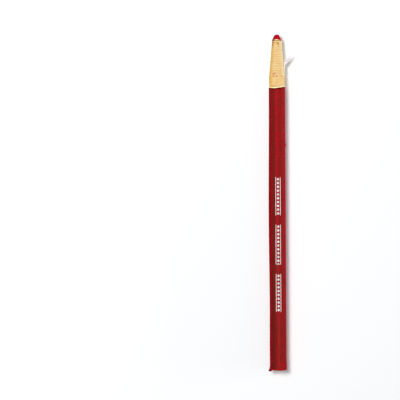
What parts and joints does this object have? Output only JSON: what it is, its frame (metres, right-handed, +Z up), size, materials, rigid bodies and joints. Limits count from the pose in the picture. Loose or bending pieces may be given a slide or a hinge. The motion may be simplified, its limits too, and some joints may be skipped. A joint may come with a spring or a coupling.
{
  "type": "china marker",
  "caption": "Peel-off china marker: a wax core wound in stepped paper turns, with a red slit-row cover and a pull string whose free end swings.",
  "frame": {"origin": "on the table under the middle of the marker's length, straight below its axis", "axes": "+X along the barrel towards the writing point, +Z up from the table, -Y the side where the pull string comes out"},
  "size_m": [0.1778, 0.0127, 0.0087],
  "materials": {
    "red_wax": "satin",
    "tan_paper": "matte",
    "red_paper": "satin",
    "cotton": "matte"
  },
  "bodies": {
    "marker": {"wax_core": "red_wax", "paper_turn_01": "tan_paper", "paper_turn_02": "tan_paper", "paper_turn_03": "tan_paper", "paper_turn_04": "tan_paper", "paper_turn_05": "tan_paper", "paper_turn_06": "tan_paper", "paper_turn_07": "tan_paper", "paper_turn_08": "tan_paper", "paper_turn_09": "tan_paper", "paper_turn_10": "tan_paper", "paper_turn_11": "tan_paper", "paper_turn_12": "tan_paper", "paper_turn_13": "tan_paper", "paper_turn_14": "tan_paper", "paper_turn_15": "tan_paper", "paper_turn_16": "tan_paper", "red_cover": "red_paper", "pull_string": "cotton"},
    "loose_string": {"string_tail": "cotton"}
  },
  "joints": [
    {"name": "string_swing", "type": "hinge", "parent": "marker", "child": "loose_string", "pos_m": [0.07372, -0.0043, 0.00434], "axis": [0, 0, -1], "range_deg": [-38, 104]}
  ]
}
